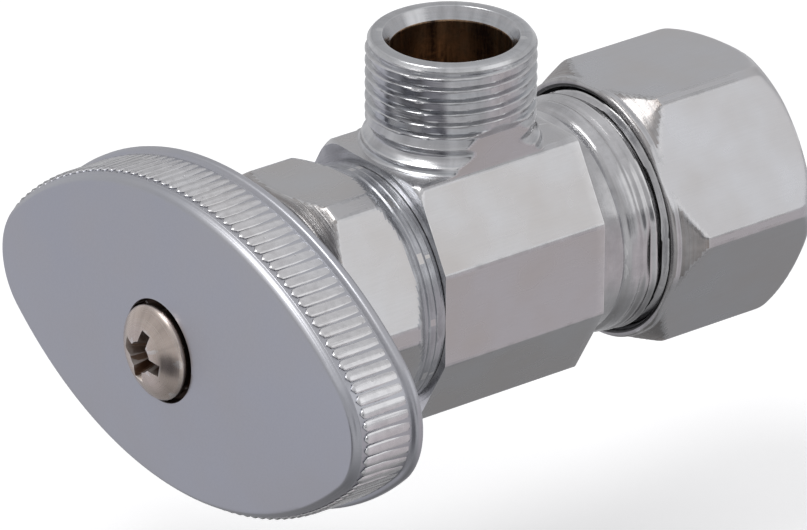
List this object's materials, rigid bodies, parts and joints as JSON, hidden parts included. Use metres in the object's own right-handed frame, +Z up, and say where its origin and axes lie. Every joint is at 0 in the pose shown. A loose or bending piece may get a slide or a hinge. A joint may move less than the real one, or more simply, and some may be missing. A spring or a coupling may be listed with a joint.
{
  "type": "angle stop valve",
  "caption": "Multi-turn angle stop valve with an oval handle, a threaded compression outlet on top and a hexagonal compression nut on its pipe inlet.",
  "frame": {"origin": "on the inlet axis at the shoulder inside the body that the supply pipe butts against", "axes": "+X along the inlet axis, out of the valve towards the supply pipe; +Z up along the outlet; the handle is at -X"},
  "size_m": [0.0623, 0.0506, 0.0344],
  "materials": {
    "body_chrome": "polished chrome plate with fine turning marks",
    "nut_chrome": "satin-bright chrome plate",
    "handle_chrome": "satin chrome plate on a die casting",
    "screw_nickel": "warm nickel plate",
    "brass": "bare machined brass",
    "rubber": "matt moulded rubber",
    "nylon": "matt moulded nylon"
  },
  "bodies": {
    "body": {"valve_body": "body_chrome", "packing_nut": "body_chrome", "packing_washer": "brass", "stem_packing": "rubber", "friction_ring": "nylon"},
    "seat_washer": {"seat_washer": "rubber"},
    "stem": {"stem": "brass", "seat_washer_screw": "brass", "handle": "handle_chrome", "handle_screw": "screw_nickel"},
    "ferrule": {"ferrule": "brass"},
    "compression_nut": {"compression_nut": "nut_chrome"}
  },
  "joints": [
    {"name": "stem_travel", "type": "slide", "parent": "body", "child": "seat_washer", "axis": [-1, 0, 0], "range_m": [0, 0.0045]},
    {"name": "handle_turn", "type": "hinge", "parent": "seat_washer", "child": "stem", "pos_m": [-0.03, 0, 0], "axis": [-1, 0, 0], "range_deg": [0, 1080]},
    {"name": "ferrule_travel", "type": "slide", "parent": "body", "child": "ferrule", "axis": [1, 0, 0], "range_m": [0, 0.00706]},
    {"name": "nut_turn", "type": "hinge", "parent": "ferrule", "child": "compression_nut", "pos_m": [0.01, 0, 0], "axis": [1, 0, 0], "range_deg": [0, 1800]}
  ],
  "couplings": [
    {"joint": "stem_travel", "follows": "handle_turn", "m_per_rad": 0.00023873},
    {"joint": "ferrule_travel", "follows": "nut_turn", "m_per_rad": 0.00022457}
  ]
}
